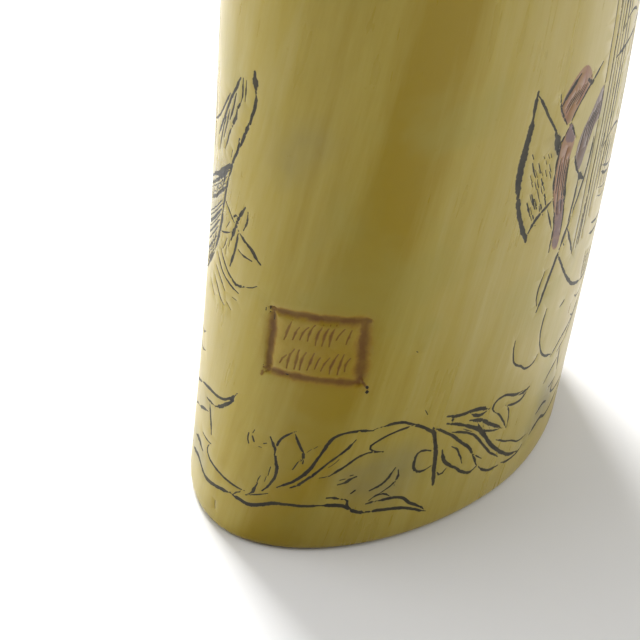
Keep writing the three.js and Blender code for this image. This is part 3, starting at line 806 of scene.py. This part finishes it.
def close_tree(nodes, given, geometry):
    """Every tree ends in real geometry with its material."""
    real = nodes.add("GeometryNodeRealizeInstances", None, Geometry=geometry)
    painted = nodes.add(
        "GeometryNodeSetMaterial", None, Geometry=nodes.out(real), Material=given["Material"]
    )
    nodes.add("NodeGroupOutput", None, Geometry=nodes.out(painted))
    return nodes.tree


def run_tree(source, tree, values, name):
    """Runs a tree on an object and returns a new plain mesh object with the result."""
    modifier = source.modifiers.new(tree.name, "NODES")
    modifier.node_group = tree
    for socket in tree.interface.items_tree:
        if socket.in_out == "INPUT" and socket.name in values:
            modifier[socket.identifier] = values[socket.name]
    source.update_tag()
    bpy.context.view_layer.update()
    evaluated = source.evaluated_get(bpy.context.evaluated_depsgraph_get())
    mesh = bpy.data.meshes.new_from_object(evaluated)
    source.modifiers.remove(modifier)
    bpy.data.objects.remove(source)
    result = bpy.data.objects.new(name, mesh)
    bpy.context.collection.objects.link(result)
    return result


FLOAT = "NodeSocketFloat"
COUNT = "NodeSocketInt"
BURIN_INPUTS = ("Pitch", "Step", "Wobble", "Pressure", "Taper", "Seed")


def burin_tree():
    """Repeats curves along the sheet and gives them a hand's wobble, pressure and run-out."""
    nodes, given = new_tree(
        "Burin lines",
        [("Repeats", COUNT, 1), *((title, FLOAT, 0.0) for title in BURIN_INPUTS)],
    )
    spots = nodes.add(
        "GeometryNodeMeshLine", None, Count=given["Repeats"], Offset=nodes.vector(given["Pitch"], 0.0, 0.0)
    )
    copies = nodes.add(
        "GeometryNodeInstanceOnPoints", None, Points=nodes.out(spots), Instance=given["Geometry"]
    )
    curves = nodes.out(nodes.add("GeometryNodeRealizeInstances", None, Geometry=nodes.out(copies)))
    numbered = nodes.add(
        "GeometryNodeStoreNamedAttribute", {"data_type": "INT", "domain": "CURVE"},
        Geometry=curves, Name="line", Value=nodes.out(nodes.add("GeometryNodeInputIndex")),
    )
    cut = nodes.add(
        "GeometryNodeResampleCurve", {"mode": "LENGTH"}, Curve=nodes.out(numbered), Length=given["Step"]
    )
    place = nodes.out(nodes.add("GeometryNodeInputPosition"))
    shifted = nodes.along("ADD", place, nodes.vector(0.0, 0.0, given["Seed"]))
    drift = nodes.noise(shifted, 420.0, 2.0, 0.6, colour=True)
    sideways = nodes.along("MULTIPLY", nodes.along("SUBTRACT", drift, (0.5, 0.5, 0.5)), (1.0, 1.0, 0.0))
    strayed = nodes.add(
        "GeometryNodeSetPosition", None,
        Geometry=nodes.out(cut), Offset=nodes.along("SCALE", sideways, scale=given["Wobble"] * 2.0),
    )
    parameter = nodes.add("GeometryNodeSplineParameter")
    total = nodes.out(nodes.add("GeometryNodeSplineLength"))
    covered = nodes.out(parameter, "Length")
    nearest_end = nodes.maths("MINIMUM", covered, total - covered)
    run_out = nodes.maths("MAXIMUM", nodes.clamped(nearest_end / given["Taper"]), 0.5)
    # A slow swell of the hand, and a quick jitter over it.
    jitter = nodes.noise(shifted, 1300.0, 3.0, 0.7) - 0.5
    weight = jitter * 0.8 + (nodes.noise(shifted, 260.0, 1.0) - 0.5)
    radius = nodes.out(nodes.add("GeometryNodeInputRadius"))
    half = radius * run_out * (1.0 + weight * given["Pressure"] * 2.0)
    weighed = nodes.add(
        "GeometryNodeStoreNamedAttribute", {"data_type": "FLOAT", "domain": "POINT"},
        Geometry=nodes.out(strayed), Name="half", Value=half,
    )
    wires = nodes.add("GeometryNodeCurveToMesh", None, Curve=nodes.out(weighed))
    return close_tree(nodes, given, nodes.out(wires))


def titled(key):
    """The name of the tree's input that a setting feeds."""
    return key.replace("_", " ").title()


def wrap_tree():
    """Wraps a flat sheet (x round, y up, z out) round the tooth, from the tooth's own sizes."""
    nodes, given = new_tree(
        "Wrap round the tooth",
        [(titled(key), FLOAT, 0.0) for key in (*ToothForm.__annotations__, "girth")],
    )
    half_length = given["Foot Length"] * 0.5
    half_thickness = given["Foot Thickness"] * 0.5
    index = nodes.out(nodes.add("GeometryNodeInputIndex"))

    def superellipse(turn, power):
        c = nodes.maths("COSINE", turn)
        s = nodes.maths("SINE", turn)
        total = nodes.maths("ABSOLUTE", c) ** power + nodes.maths("ABSOLUTE", s) ** power
        reach = total ** (-1.0 / power)
        return c * reach, s * reach

    # The foot's outline as a curve, so that a length along it gives a direction.
    dots = nodes.add("GeometryNodeMeshLine", None, Count=OUTLINE_STEPS + 1)
    c, s = superellipse(index * (2 * math.pi / OUTLINE_STEPS), given["Oval Power"])
    ring = nodes.add(
        "GeometryNodeSetPosition", None,
        Geometry=nodes.out(dots), Position=nodes.vector(c * half_length, s * half_thickness, 0.0),
    )
    outline = nodes.add("GeometryNodeMeshToCurve", None, Mesh=nodes.out(ring))

    # The bent centre line, added up from short steps.
    lean_here = given["Bend"] * ((index + 0.5) * (1 / SPINE_STEPS)) ** given["Bend Power"]
    stride = given["Spine"] * (1 / SPINE_STEPS)
    back = nodes.maths("SINE", lean_here) * stride * -1.0
    move = nodes.vector(back, 0.0, nodes.maths("COSINE", lean_here) * stride)
    summed = nodes.add("GeometryNodeAccumulateField", {"data_type": "FLOAT_VECTOR"}, in0=move)
    knots = nodes.add("GeometryNodeMeshLine", None, Count=SPINE_STEPS + 1)
    bent = nodes.add(
        "GeometryNodeSetPosition", None, Geometry=nodes.out(knots), Position=nodes.out(summed, "Trailing")
    )
    spine = nodes.add("GeometryNodeMeshToCurve", None, Mesh=nodes.out(bent))

    w, s_up, out = nodes.parts(nodes.out(nodes.add("GeometryNodeInputPosition")))
    on_outline = nodes.add(
        "GeometryNodeSampleCurve", {"mode": "LENGTH"},
        Curves=nodes.out(outline), Length=w + given["Girth"] * 0.5,
    )
    x, y, _ = nodes.parts(nodes.out(on_outline, "Position"))
    turn = nodes.maths("ARCTAN2", y / half_thickness, x / half_length)
    h = nodes.clamped(s_up / given["Spine"])
    power = given["Oval Power"] + (2.0 - given["Oval Power"]) * h
    c, s = superellipse(turn, power)
    full = (1.0 - given["Taper"] * h) * (1.0 - h ** given["Crown Power"]) ** given["Crown Round"]
    dip = nodes.maths("MAXIMUM", given["Foot Round"] - s_up, 0.0)
    worn = given["Foot Round"] * given["Foot Round"] - dip * dip
    inset = given["Foot Round"] - nodes.maths("SQRT", worn)
    along = (half_length * full - inset + out) * c
    across = (half_thickness * full - inset + out) * s
    on_spine = nodes.add(
        "GeometryNodeSampleCurve", {"mode": "LENGTH"}, Curves=nodes.out(spine), Length=s_up
    )
    lean = given["Bend"] * h ** given["Bend Power"]
    offset = nodes.vector(along * nodes.maths("COSINE", lean), across, along * nodes.maths("SINE", lean))
    wrapped = nodes.add(
        "GeometryNodeSetPosition", None,
        Geometry=given["Geometry"], Position=nodes.along("ADD", nodes.out(on_spine, "Position"), offset),
    )
    return close_tree(nodes, given, nodes.out(wrapped))


# ---- From lines to a meshed sheet ----
INKED_SHARE = 0.7  # share of a groove's half width that holds pigment
NARROW_EDGE = 0.5  # mm, the widest edge of a wash that gets mesh borders
ROW_THINNING = 1.12  # above 1, the rows of cells close up towards the tip
STRAY = 0.15  # share of a cell by which a point leaves its place
PIGMENTS = ("ink", "sienna", "red", "purple", "grime")


def curves_of(lines, name):
    """One curve object with a smooth spline for each line, in metres, radius as the groove's half width."""
    data = bpy.data.curves.new(name, "CURVE")
    data.dimensions = "3D"
    for line in lines:
        spline = data.splines.new("BEZIER")
        spline.bezier_points.add(len(line.points) - 1)
        for knot, (w, s) in zip(spline.bezier_points, line.points):
            knot.co = (w * MM, s * MM, 0)
            knot.handle_left_type = knot.handle_right_type = "AUTO"
            knot.radius = line.width * 0.5 / INKED_SHARE * MM
    item = bpy.data.objects.new(name, data)
    bpy.context.collection.objects.link(item)
    return item


def engraved_paths(lines, engraving, girth, repeats=1):
    """Each line after the burin tree: (points in mm, half widths in mm, the line it came from)."""
    flat = run_tree(
        curves_of(lines, "lines"), burin_tree(),
        {"Repeats": repeats, "Pitch": girth / repeats, "Step": engraving.step,
         "Wobble": engraving.wobble, "Pressure": engraving.pressure, "Taper": engraving.taper,
         "Seed": float(engraving.seed)},
        "wires",
    )
    mesh = flat.data
    total = len(mesh.vertices)
    place = np.empty(total * 3)
    mesh.vertices.foreach_get("co", place)
    place = place.reshape(-1, 3)[:, :2] / MM
    half = np.empty(total)
    mesh.attributes["half"].data.foreach_get("value", half)
    number = np.empty(total, dtype=np.int32)
    mesh.attributes["line"].data.foreach_get("value", number)
    bpy.data.objects.remove(flat)
    bpy.data.meshes.remove(mesh)
    cuts = np.flatnonzero(np.diff(number)) + 1
    groups = np.split(np.arange(total), cuts)
    return [(place[g], half[g] / MM, lines[number[g[0]] % len(lines)]) for g in groups if len(g) > 1]


class Sheet:
    """The flat sheet: points and edges that the mesh must hold, and the cuts and washes laid on it."""

    def __init__(self, girth, form, engraving):
        self.girth = girth / MM
        self.form = form
        self.engraving = engraving
        self.points = []
        self.edges = []
        self.cuts = []
        self.washes = []

    def chain(self, points, closed=False):
        first = len(self.points)
        self.points.extend(map(tuple, points))
        last = len(self.points)
        self.edges.extend((i, i + 1) for i in range(first, last - 1))
        if closed:
            self.edges.append((last - 1, first))

    def copies(self, points):
        """The shifts, in girths, at which a line lies on the sheet."""
        base = -round(float(points[:, 0].mean()) / self.girth)
        low = points[:, 0].min() + base * self.girth
        high = points[:, 0].max() + base * self.girth
        shifts = [base]
        if low < -self.girth / 2 + SEAM_MARGIN:
            shifts.append(base + 1)
        if high > self.girth / 2 - SEAM_MARGIN:
            shifts.append(base - 1)
        return [shift * self.girth for shift in shifts]

    def cut(self, points, half, line):
        """A cut's centre line, and a border round it that also passes its two ends."""
        for shift in self.copies(points):
            here = points + (shift, 0)
            way = np.gradient(here, axis=0)
            way /= np.maximum(np.linalg.norm(way, axis=1, keepdims=True), 1e-9)
            side = np.stack([-way[:, 1], way[:, 0]], 1) * half[:, None]
            first = here[:1] - way[:1] * half[0]
            last = here[-1:] + way[-1:] * half[-1]
            self.chain(here)
            self.chain(np.concatenate([first, here + side, last, (here - side)[::-1]]), True)
            self.cuts.append((here, half, line))

    def wash(self, corners, pigment, strength=1.0, edge=0.22):
        """A closed patch of colour. A narrow edge gets mesh borders, a wide one fades over the cells."""
        outline = rounded(corners)
        for shift in self.copies(outline):
            here = outline + (shift, 0)
            self.washes.append((here, pigment, strength, edge))
            if edge > NARROW_EDGE:
                continue
            way = np.roll(here, -1, 0) - np.roll(here, 1, 0)
            way /= np.linalg.norm(way, axis=1, keepdims=True)
            side = np.stack([-way[:, 1], way[:, 0]], 1) * edge
            self.chain(here + side, True)
            self.chain(here - side, True)

    def ground(self):
        """Points between the lines: rows up the sheet, thinned towards the tip."""
        cell = self.engraving.cell / MM
        spine = self.form.spine / MM
        rows = round(spine / cell)
        chance = random.Random(self.engraving.seed)
        heights = [spine * (1 - (1 - r / rows) ** ROW_THINNING) for r in range(1, rows)]
        heights = [0, *(self.form.foot_round / MM * k for k in (0.12, 0.32, 0.6, 1))] + [
            s for s in heights if s > self.form.foot_round / MM * 1.6
        ]
        for s in heights:
            share = float(fullness(self.form, s * MM))
            count = max(20, round(self.girth / cell * share))
            for i in range(1, count):
                drift = chance.uniform(-STRAY, STRAY) * self.girth / count if 2 < s < spine * 0.9 else 0
                self.points.append(((i / count - 0.5) * self.girth + drift, s))
        for side in (-0.5, 0.5):
            self.chain([(side * self.girth, s) for s in [*heights, spine]])
        self.chain([(-self.girth / 2, 0), (self.girth / 2, 0)])

    def mesh(self):
        points, _, faces, *_ = delaunay_2d_cdt([Vector(p) for p in self.points], self.edges, [], 0, 1e-5)
        points = np.array(points)
        faces = np.array(faces)
        middle = points[faces].mean(axis=1)
        spine = self.form.spine / MM
        kept = (np.abs(middle[:, 0]) < self.girth / 2) & (middle[:, 1] > 0) & (middle[:, 1] < spine)
        faces = faces[kept]
        used, faces = np.unique(faces, return_inverse=True)
        return points[used], faces.reshape(-1, 3)

    def layers(self, points):
        """Depth, tone and each pigment's share at the points."""
        layers = {name: np.zeros(len(points)) for name in ("depth", *PIGMENTS)}
        layers["tone"] = streaks_and_foot_shade(points, self.girth, self.engraving.seed)
        centres = np.concatenate([here for here, _, _ in self.cuts])
        halves = np.concatenate([half for _, half, _ in self.cuts])
        owner = np.concatenate([np.full(len(half), i) for i, (_, half, _) in enumerate(self.cuts)])
        tree = kdtree.KDTree(len(centres))
        for i, (w, s) in enumerate(centres):
            tree.insert((w, s, 0), i)
        tree.balance()
        reach = float(halves.max())
        deep = self.engraving.depth / MM
        for k, (w, s) in enumerate(points):
            for _, i, distance in tree.find_range((w, s, 0), reach):
                share = 1 - distance / halves[i]
                if share <= 0:
                    continue
                line = self.cuts[owner[i]][2]
                layers[line.pigment][k] = max(layers[line.pigment][k], share)
                # A wide cut is a deeper one, and its floor is flat.
                cut = deep * line.depth * min(1.5, 0.6 + halves[i]) * min(1, share * 1.4)
                layers["depth"][k] = max(layers["depth"][k], cut)
        for here, pigment, strength, edge in self.washes:
            layers[pigment] = np.maximum(layers[pigment], strength * coverage(points, here, edge))
        return layers


# Broad streaks of the resin: place at the foot, lean up the tooth, width at the foot, its growth, and tone.
STREAKS = [
    (6.0, 0.2, 3.0, 0.02, -0.7),
    (8.0, 0.12, 7.0, 0.06, -0.4),
    (33.0, 0.06, 7.0, 0.0, 0.1),
    (46.0, 0.05, 8.0, 0.0, 0.3),
    (-6.0, 0.05, 5.0, 0.0, 0.3),
]


def smooth(value, low, high):
    t = np.clip((value - low) / (high - low), 0, 1)
    return t * t * (3 - 2 * t)


def streaks_and_foot_shade(points, girth, seed):
    """How pale or dark the resin is: above 0 paler, below 0 browner; near the foot a painted shade darkens
    it.
    """
    w, s = points[:, 0], points[:, 1]
    tone = np.zeros(len(points))
    chance = random.Random(seed)
    hidden = [
        (place, chance.uniform(0.02, 0.16), chance.uniform(2.5, 7), chance.uniform(0, 0.04),
         chance.choice((-0.8, -0.45, 0.3, 0.4)))
        for place in (66, 74, 83, 92, 101, 110, 119, 128, 138, 148, 158, 168)
    ]
    for place, lean, width, growth, strength in STREAKS + hidden:
        off = (w - place - lean * s + girth / 2) % girth - girth / 2
        tone += strength * np.exp(-((off / (width + growth * s)) ** 2))
    # A clear border on the narrow edge, where a pale pour meets a dark one.
    border = 1 - smooth(s, 8, 26) * (1 - smooth(w, 2.2, 4.8)) * (w > -25)
    tone = np.where(tone < 0, tone * border, tone)
    # Painted shade: the tone is darkened within a few millimetres of the foot, where the tooth meets the
    # floor.
    foot = np.exp(-s / 4.5)
    return tone - 0.3 * foot


def rounded(corners, step=0.7):
    """A smooth closed path through a few corners, in even steps."""
    corners = np.array(corners, dtype=float)
    path = []
    for i in range(len(corners)):
        p0, p1, p2, p3 = (corners[(i + k) % len(corners)] for k in (-1, 0, 1, 2))
        for t in np.linspace(0, 1, max(2, int(np.linalg.norm(p2 - p1) / step) + 1), endpoint=False):
            path.append(
                0.5 * (2 * p1 + (p2 - p0) * t + (2 * p0 - 5 * p1 + 4 * p2 - p3) * t**2
                       + (3 * p1 - p0 - 3 * p2 + p3) * t**3)
            )
    return np.array(path)


def coverage(points, outline, edge):
    """1 inside a closed outline, 0 outside, and a ramp over its edge."""
    result = np.zeros(len(points))
    low, high = outline.min(axis=0) - edge * 2, outline.max(axis=0) + edge * 2
    near = np.flatnonzero(((points > low) & (points < high)).all(axis=1))
    here = points[near]
    after = np.roll(outline, -1, 0)
    inside = np.zeros(len(near), dtype=bool)
    distance = np.full(len(near), 1e9)
    for a, b in zip(outline, after):
        crosses = (a[1] > here[:, 1]) != (b[1] > here[:, 1])
        if abs(b[1] - a[1]) > 1e-12:
            at = a[0] + (here[:, 1] - a[1]) * (b[0] - a[0]) / (b[1] - a[1])
            inside ^= crosses & (here[:, 0] < at)
        way = b - a
        t = np.clip(((here - a) @ way) / max(float(way @ way), 1e-12), 0, 1)
        distance = np.minimum(distance, np.linalg.norm(here - (a + t[:, None] * way), axis=1))
    signed = np.where(inside, distance, -distance)
    result[near] = np.clip(0.5 + 0.5 * signed / edge, 0, 1)
    return result


# ---- Materials ----
def new_material(name):
    material = bpy.data.materials.new(name)
    material.use_nodes = True
    material.node_tree.nodes.clear()
    return material, Nodes(material.node_tree)


def engraved_resin(finish):
    """Streaky mustard resin with pigment rubbed into the cuts."""
    material, nodes = new_material("engraved_resin")

    def layer(name, output="Fac"):
        return nodes.out(nodes.add("ShaderNodeAttribute", {"attribute_name": name}), output)

    place = nodes.out(nodes.add("ShaderNodeTexCoord"), "Object")
    grain = layer("grain", "Vector")
    broad = nodes.noise(grain, 150.0, 3.0, 0.55, 0.6)
    fine = nodes.noise(grain, 520.0, 3.0, 0.6, 0.3)
    hair = nodes.noise(grain, 2200.0, 2.0, 0.6)
    cloud = nodes.noise(place, 60.0, 3.0, 0.55, 0.4)
    speck = nodes.noise(place, 900.0, 2.0, 0.65)

    # The tone attribute holds the resin's streaks and the painted shade near the foot; below 0 it mixes
    # towards the brown streak colour.
    tone = layer("tone") + (broad - 0.5) * 1.5 + (fine - 0.5) * 1.0 + (hair - 0.5) * 0.35
    colour = nodes.mix(nodes.clamped(tone * 1.3), tuple(finish.resin), tuple(finish.resin_light))
    colour = nodes.mix(nodes.clamped(tone * -1.1), colour, tuple(finish.resin_dark))
    colour = nodes.mix(nodes.step(cloud, 0.5, 0.72) * 0.4, colour, tuple(finish.resin_green))
    colour = nodes.mix(nodes.step(speck, 0.66, 0.8) * 0.25, colour, tuple(finish.resin_dark))

    ragged = nodes.noise(place, 2300.0, 3.0, 0.75) - 0.5
    blotchy = nodes.noise(place, 420.0, 3.0, 0.6)
    colour = nodes.mix(nodes.clamped(layer("grime") * (0.55 + blotchy * 0.9)), colour, tuple(finish.grime))
    sienna = layer("sienna")
    warm = nodes.step(sienna + ragged * 0.3, 0.0, 0.5)
    colour = nodes.mix(warm * (0.45 + blotchy * 0.5), colour, tuple(finish.sienna_light))
    stained = nodes.step(sienna + ragged * 0.35, 0.25, 0.85)
    colour = nodes.mix(stained * (0.35 + blotchy * 0.75), colour, tuple(finish.sienna))
    red = nodes.step(layer("red") + ragged * 0.6, 0.3, 0.7)
    colour = nodes.mix(red * (0.7 + (fine - 0.5) * 0.9), colour, tuple(finish.red))
    purple = nodes.step(layer("purple") + ragged * 0.8 + (blotchy - 0.5) * 0.6, 0.2, 0.8)
    colour = nodes.mix(purple * 0.85, colour, tuple(finish.purple))
    ink = layer("ink")
    haze = nodes.step(ink, 0.0, 0.4) * 0.3
    colour = nodes.mix(haze, colour, tuple(finish.grime))
    line = nodes.step(ink + ragged * 0.7, 0.18, 0.36)
    colour = nodes.mix(line * (0.8 + blotchy * 0.28), colour, tuple(finish.ink))

    roughness = 0.3 + (fine - 0.5) * 0.12 + (cloud - 0.5) * 0.15 + line * 0.2 + warm * 0.12
    height = speck * 0.25 + hair * 0.5 + fine * 0.6
    bump = nodes.add("ShaderNodeBump", None, Strength=0.1, Distance=0.0002, Height=height)
    shader = nodes.add(
        "ShaderNodeBsdfPrincipled", None,
        Base_Color=colour, Roughness=nodes.clamped(roughness), Normal=nodes.out(bump), IOR=1.33,
    )
    shader.inputs["Subsurface Weight"].default_value = 0.12
    shader.inputs["Subsurface Radius"].default_value = (1.0, 0.6, 0.25)
    shader.inputs["Subsurface Scale"].default_value = 0.002
    nodes.add("ShaderNodeOutputMaterial", None, Surface=nodes.out(shader))
    return material


def floor_paper(settings):
    material, nodes = new_material("floor_paper")
    place = nodes.out(nodes.add("ShaderNodeTexCoord"), "Object")
    pale = tuple(settings.floor_colour)
    shade = tuple(v * 0.985 for v in pale[:3]) + (1.0,)
    colour = nodes.mix(nodes.step(nodes.noise(place, 6.0, 2.0), 0.4, 0.6), pale, shade)
    shader = nodes.add("ShaderNodeBsdfPrincipled", None, Base_Color=colour, Roughness=0.75)
    nodes.add("ShaderNodeOutputMaterial", None, Surface=nodes.out(shader))
    return material


# ---- Making the tooth ----
STREAK_LEAN = 0.16  # how far the grain shifts round the tooth for each step up it
STREAK_SQUASH = 0.09  # how slowly the grain changes up the tooth, against round it
# The texture chart: the wall's left edge, foot, width and height, and the foot's middle and length.
WALL_CHART = (0.005, 0.18, 0.99, 0.815)
FOOT_CHART = (0.2, 0.09, 0.3)


def sheet_object(points, faces, layers, girth, spine):
    """The flat sheet as a mesh, with its layers as attributes and a chart of its own."""
    mesh = bpy.data.meshes.new("sheet")
    flat = np.column_stack([points, -layers["depth"]]) * MM
    mesh.from_pydata(flat.tolist(), [], faces.tolist())
    for name in ("tone", *PIGMENTS):
        attribute = mesh.attributes.new(name, "FLOAT", "POINT")
        attribute.data.foreach_set("value", layers[name].astype(np.float32))
    # Round the tooth as a ring and slowly up it, so that a pattern runs with the streaks and has no seam.
    turn = 2 * math.pi * (points[:, 0] - STREAK_LEAN * points[:, 1]) / girth
    ring = girth / (2 * math.pi)
    grain = np.column_stack([ring * np.cos(turn), ring * np.sin(turn), points[:, 1] * STREAK_SQUASH]) * MM
    attribute = mesh.attributes.new("grain", "FLOAT_VECTOR", "POINT")
    attribute.data.foreach_set("vector", grain.astype(np.float32).reshape(-1))
    chart = mesh.uv_layers.new(name="OFBake")
    corners = faces.reshape(-1)
    left, low, wide, high = WALL_CHART
    u = left + wide * (points[corners, 0] / girth + 0.5)
    v = low + high * points[corners, 1] / spine
    chart.data.foreach_set("uv", np.stack([u, v], 1).astype(np.float32).reshape(-1))
    item = bpy.data.objects.new("sheet", mesh)
    bpy.context.collection.objects.link(item)
    return item


def close_ends(item, form):
    """Joins the seam and the tip, lays a flat foot in the open ring and gives it its place on the chart."""
    work = bmesh.new()
    work.from_mesh(item.data)
    bmesh.ops.remove_doubles(work, verts=work.verts, dist=2e-6)
    bmesh.ops.dissolve_degenerate(work, dist=1e-7, edges=work.edges)
    chart = work.loops.layers.uv["OFBake"]
    rim = [edge for edge in work.edges if edge.is_boundary and max(v.co.z for v in edge.verts) < 1e-5]
    centre = work.verts.new((0, 0, 0))
    middle_u, middle_v, long = FOOT_CHART
    scale = long / form.foot_length
    for edge in rim:
        a, b = edge.verts
        face = work.faces.new((a, b, centre))
        face.normal_update()
        if face.normal.z > 0:
            face.normal_flip()
        face.smooth = False
        for loop in face.loops:
            loop[chart].uv = (middle_u + loop.vert.co.x * scale, middle_v + loop.vert.co.y * scale)
    for face in work.faces:
        if face.calc_center_median().z > 1e-6:
            face.smooth = True
    work.to_mesh(item.data)
    open_edges = sum(1 for edge in work.edges if not edge.is_manifold)
    work.free()
    if open_edges:
        raise RuntimeError(f"the tooth has {open_edges} open edges")


def build_tooth(settings):
    form, engraving = settings.form, settings.engraving
    girth = outline_length(form)
    chance = random.Random(engraving.seed)
    sheet = Sheet(girth, form, engraving)
    pictures = front_ship(chance) + back_ship(chance) + cartouche(chance)
    pictures += inked(ODD_MARKS) + inked(GARLAND_TAIL)
    for path, half, line in engraved_paths(inked(GARLAND), engraving, girth, engraving.repeats):
        sheet.cut(path, half, line)
    for path, half, line in engraved_paths(pictures, engraving, girth):
        sheet.cut(path, half, line)
    for pigment, strength, corners, _ in FRONT_BANDS:
        sheet.wash(corners, pigment, strength)
    for pigment, strength, edge, corners in STAINS:
        sheet.wash(corners, pigment, strength, edge)
    sheet.ground()
    points, faces = sheet.mesh()
    flat = sheet_object(points, faces, sheet.layers(points), girth / MM, form.spine / MM)
    values = {titled(key): getattr(form, key) for key in ToothForm.__annotations__}
    values["Girth"] = girth
    values["Material"] = engraved_resin(settings.finish)
    tooth = run_tree(flat, wrap_tree(), values, "engraved_tooth")
    close_ends(tooth, form)
    return tooth


class TOOTH_OT_tooth(bpy.types.Operator):
    """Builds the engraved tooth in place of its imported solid"""

    bl_idname = "tooth.tooth"
    bl_label = "Engraved tooth"

    def execute(self, context):
        tooth = build_tooth(context.scene.tooth)
        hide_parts("tooth")
        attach(tooth, "root")
        return {"FINISHED"}


# ---- Stage ----
# The camera looks past the middle of the foot: degrees, then millimetres back and across its view.
CAMERA = {"azimuth": 32.99, "elevation": 33.25, "roll": 8.08, "distance": 230.66, "shift": (-9.74, 14.56)}
# Soft lamps: name, place, height of the point it faces, and edge.
LAMPS = [
    ("key", (0.36, 0.69, 0.78), 0.03, 0.4),
    ("side", (-0.5, 0.62, 0.5), 0.03, 0.8),
    ("fill", (0.5, -0.8, 0.4), 0.05, 0.8),
]


def add_camera(lens):
    az, el, roll = (math.radians(CAMERA[key]) for key in ("azimuth", "elevation", "roll"))
    back = Vector((-math.cos(az) * math.cos(el), -math.sin(az) * math.cos(el), math.sin(el)))
    right = (-back).cross(Vector((0, 0, 1))).normalized()
    up = right.cross(-back)
    turned_right = right * math.cos(roll) + up * math.sin(roll)
    turned_up = up * math.cos(roll) - right * math.sin(roll)
    along, above = CAMERA["shift"]
    place = (back * CAMERA["distance"] + turned_right * along + turned_up * above) * MM
    data = bpy.data.cameras.new("camera")
    data.lens = lens
    data.sensor_width = 36
    data.clip_start = 0.01
    camera = bpy.data.objects.new("camera", data)
    turned = Matrix((turned_right, turned_up, back)).transposed().to_4x4()
    camera.matrix_world = Matrix.Translation(place) @ turned
    bpy.context.collection.objects.link(camera)
    bpy.context.scene.camera = camera


def soft_lamp(name, place, height, edge, energy):
    data = bpy.data.lights.new(name, "AREA")
    data.size = edge
    data.energy = energy
    lamp = bpy.data.objects.new(name, data)
    lamp.location = place
    lamp.rotation_euler = (Vector(place) - Vector((0, 0, height))).to_track_quat("Z", "Y").to_euler()
    bpy.context.collection.objects.link(lamp)


def studio_world(settings):
    """White walls all round, dim on the side that the tooth's narrow front edge faces."""
    world = bpy.data.worlds.new("studio")
    world.use_nodes = True
    world.node_tree.nodes.clear()
    nodes = Nodes(world.node_tree)
    way = nodes.out(nodes.add("ShaderNodeTexCoord"), "Generated")
    az = math.radians(CAMERA["azimuth"])
    facing = nodes.add("ShaderNodeVectorMath", {"operation": "DOT_PRODUCT"}, in0=way)
    facing.inputs[1].default_value = (-math.cos(az), -math.sin(az), 0.0)
    dim = nodes.step(nodes.out(facing, "Value"), 0.15, 0.85)
    seen = nodes.out(nodes.add("ShaderNodeLightPath"), "Is Camera Ray")
    walls = nodes.mix(dim, (1, 1, 1, 1), tuple(settings.dim_side))
    walls = nodes.mix(seen, walls, (1, 1, 1, 1))
    ground = nodes.add("ShaderNodeBackground", None, Color=walls, Strength=settings.walls)
    nodes.add("ShaderNodeOutputWorld", None, Surface=nodes.out(ground))
    return world


class TOOTH_OT_stage(bpy.types.Operator):
    """Lays the pale floor and sets the soft light and the camera"""

    bl_idname = "tooth.stage"
    bl_label = "Floor, light and camera"

    def execute(self, context):
        settings = context.scene.tooth.stage
        half = settings.floor_size / 2
        mesh = bpy.data.meshes.new("floor")
        corners = [(-half, -half, 0), (half, -half, 0), (half, half, 0), (-half, half, 0)]
        mesh.from_pydata(corners, [], [(0, 1, 2, 3)])
        mesh.materials.append(floor_paper(settings))
        floor = bpy.data.objects.new("floor", mesh)
        context.collection.objects.link(floor)
        context.scene.world = studio_world(settings)
        context.scene.view_settings.view_transform = "Standard"
        for name, place, height, edge in LAMPS:
            soft_lamp(name, place, height, edge, getattr(settings, name + "_power"))
        add_camera(settings.lens)
        return {"FINISHED"}


class TOOTH_PT_panel(bpy.types.Panel):
    """Lists the steps that build the tooth, with their settings"""

    bl_idname = "TOOTH_PT_panel"
    bl_label = "Whale tooth"
    bl_space_type = "VIEW_3D"
    bl_region_type = "UI"
    bl_category = "Tooth"

    def draw(self, context):
        settings = context.scene.tooth
        for operator in (TOOTH_OT_tooth, TOOTH_OT_stage):
            self.layout.operator(operator.bl_idname)
        for group in (settings.form, settings.engraving, settings.finish, settings.stage):
            box = self.layout.box()
            for key in group.__annotations__:
                box.prop(group, key)


CLASSES = (
    ToothForm, Engraving, Finish, Stage, ToothSettings, TOOTH_OT_tooth, TOOTH_OT_stage, TOOTH_PT_panel
)


def register():
    for item in CLASSES:
        bpy.utils.register_class(item)
    bpy.types.Scene.tooth = PointerProperty(type=ToothSettings)


def unregister():
    del bpy.types.Scene.tooth
    for item in reversed(CLASSES):
        bpy.utils.unregister_class(item)


def main():
    register()
    bpy.ops.tooth.stage()
    bpy.ops.tooth.tooth()


if __name__ == "__main__":
    main()
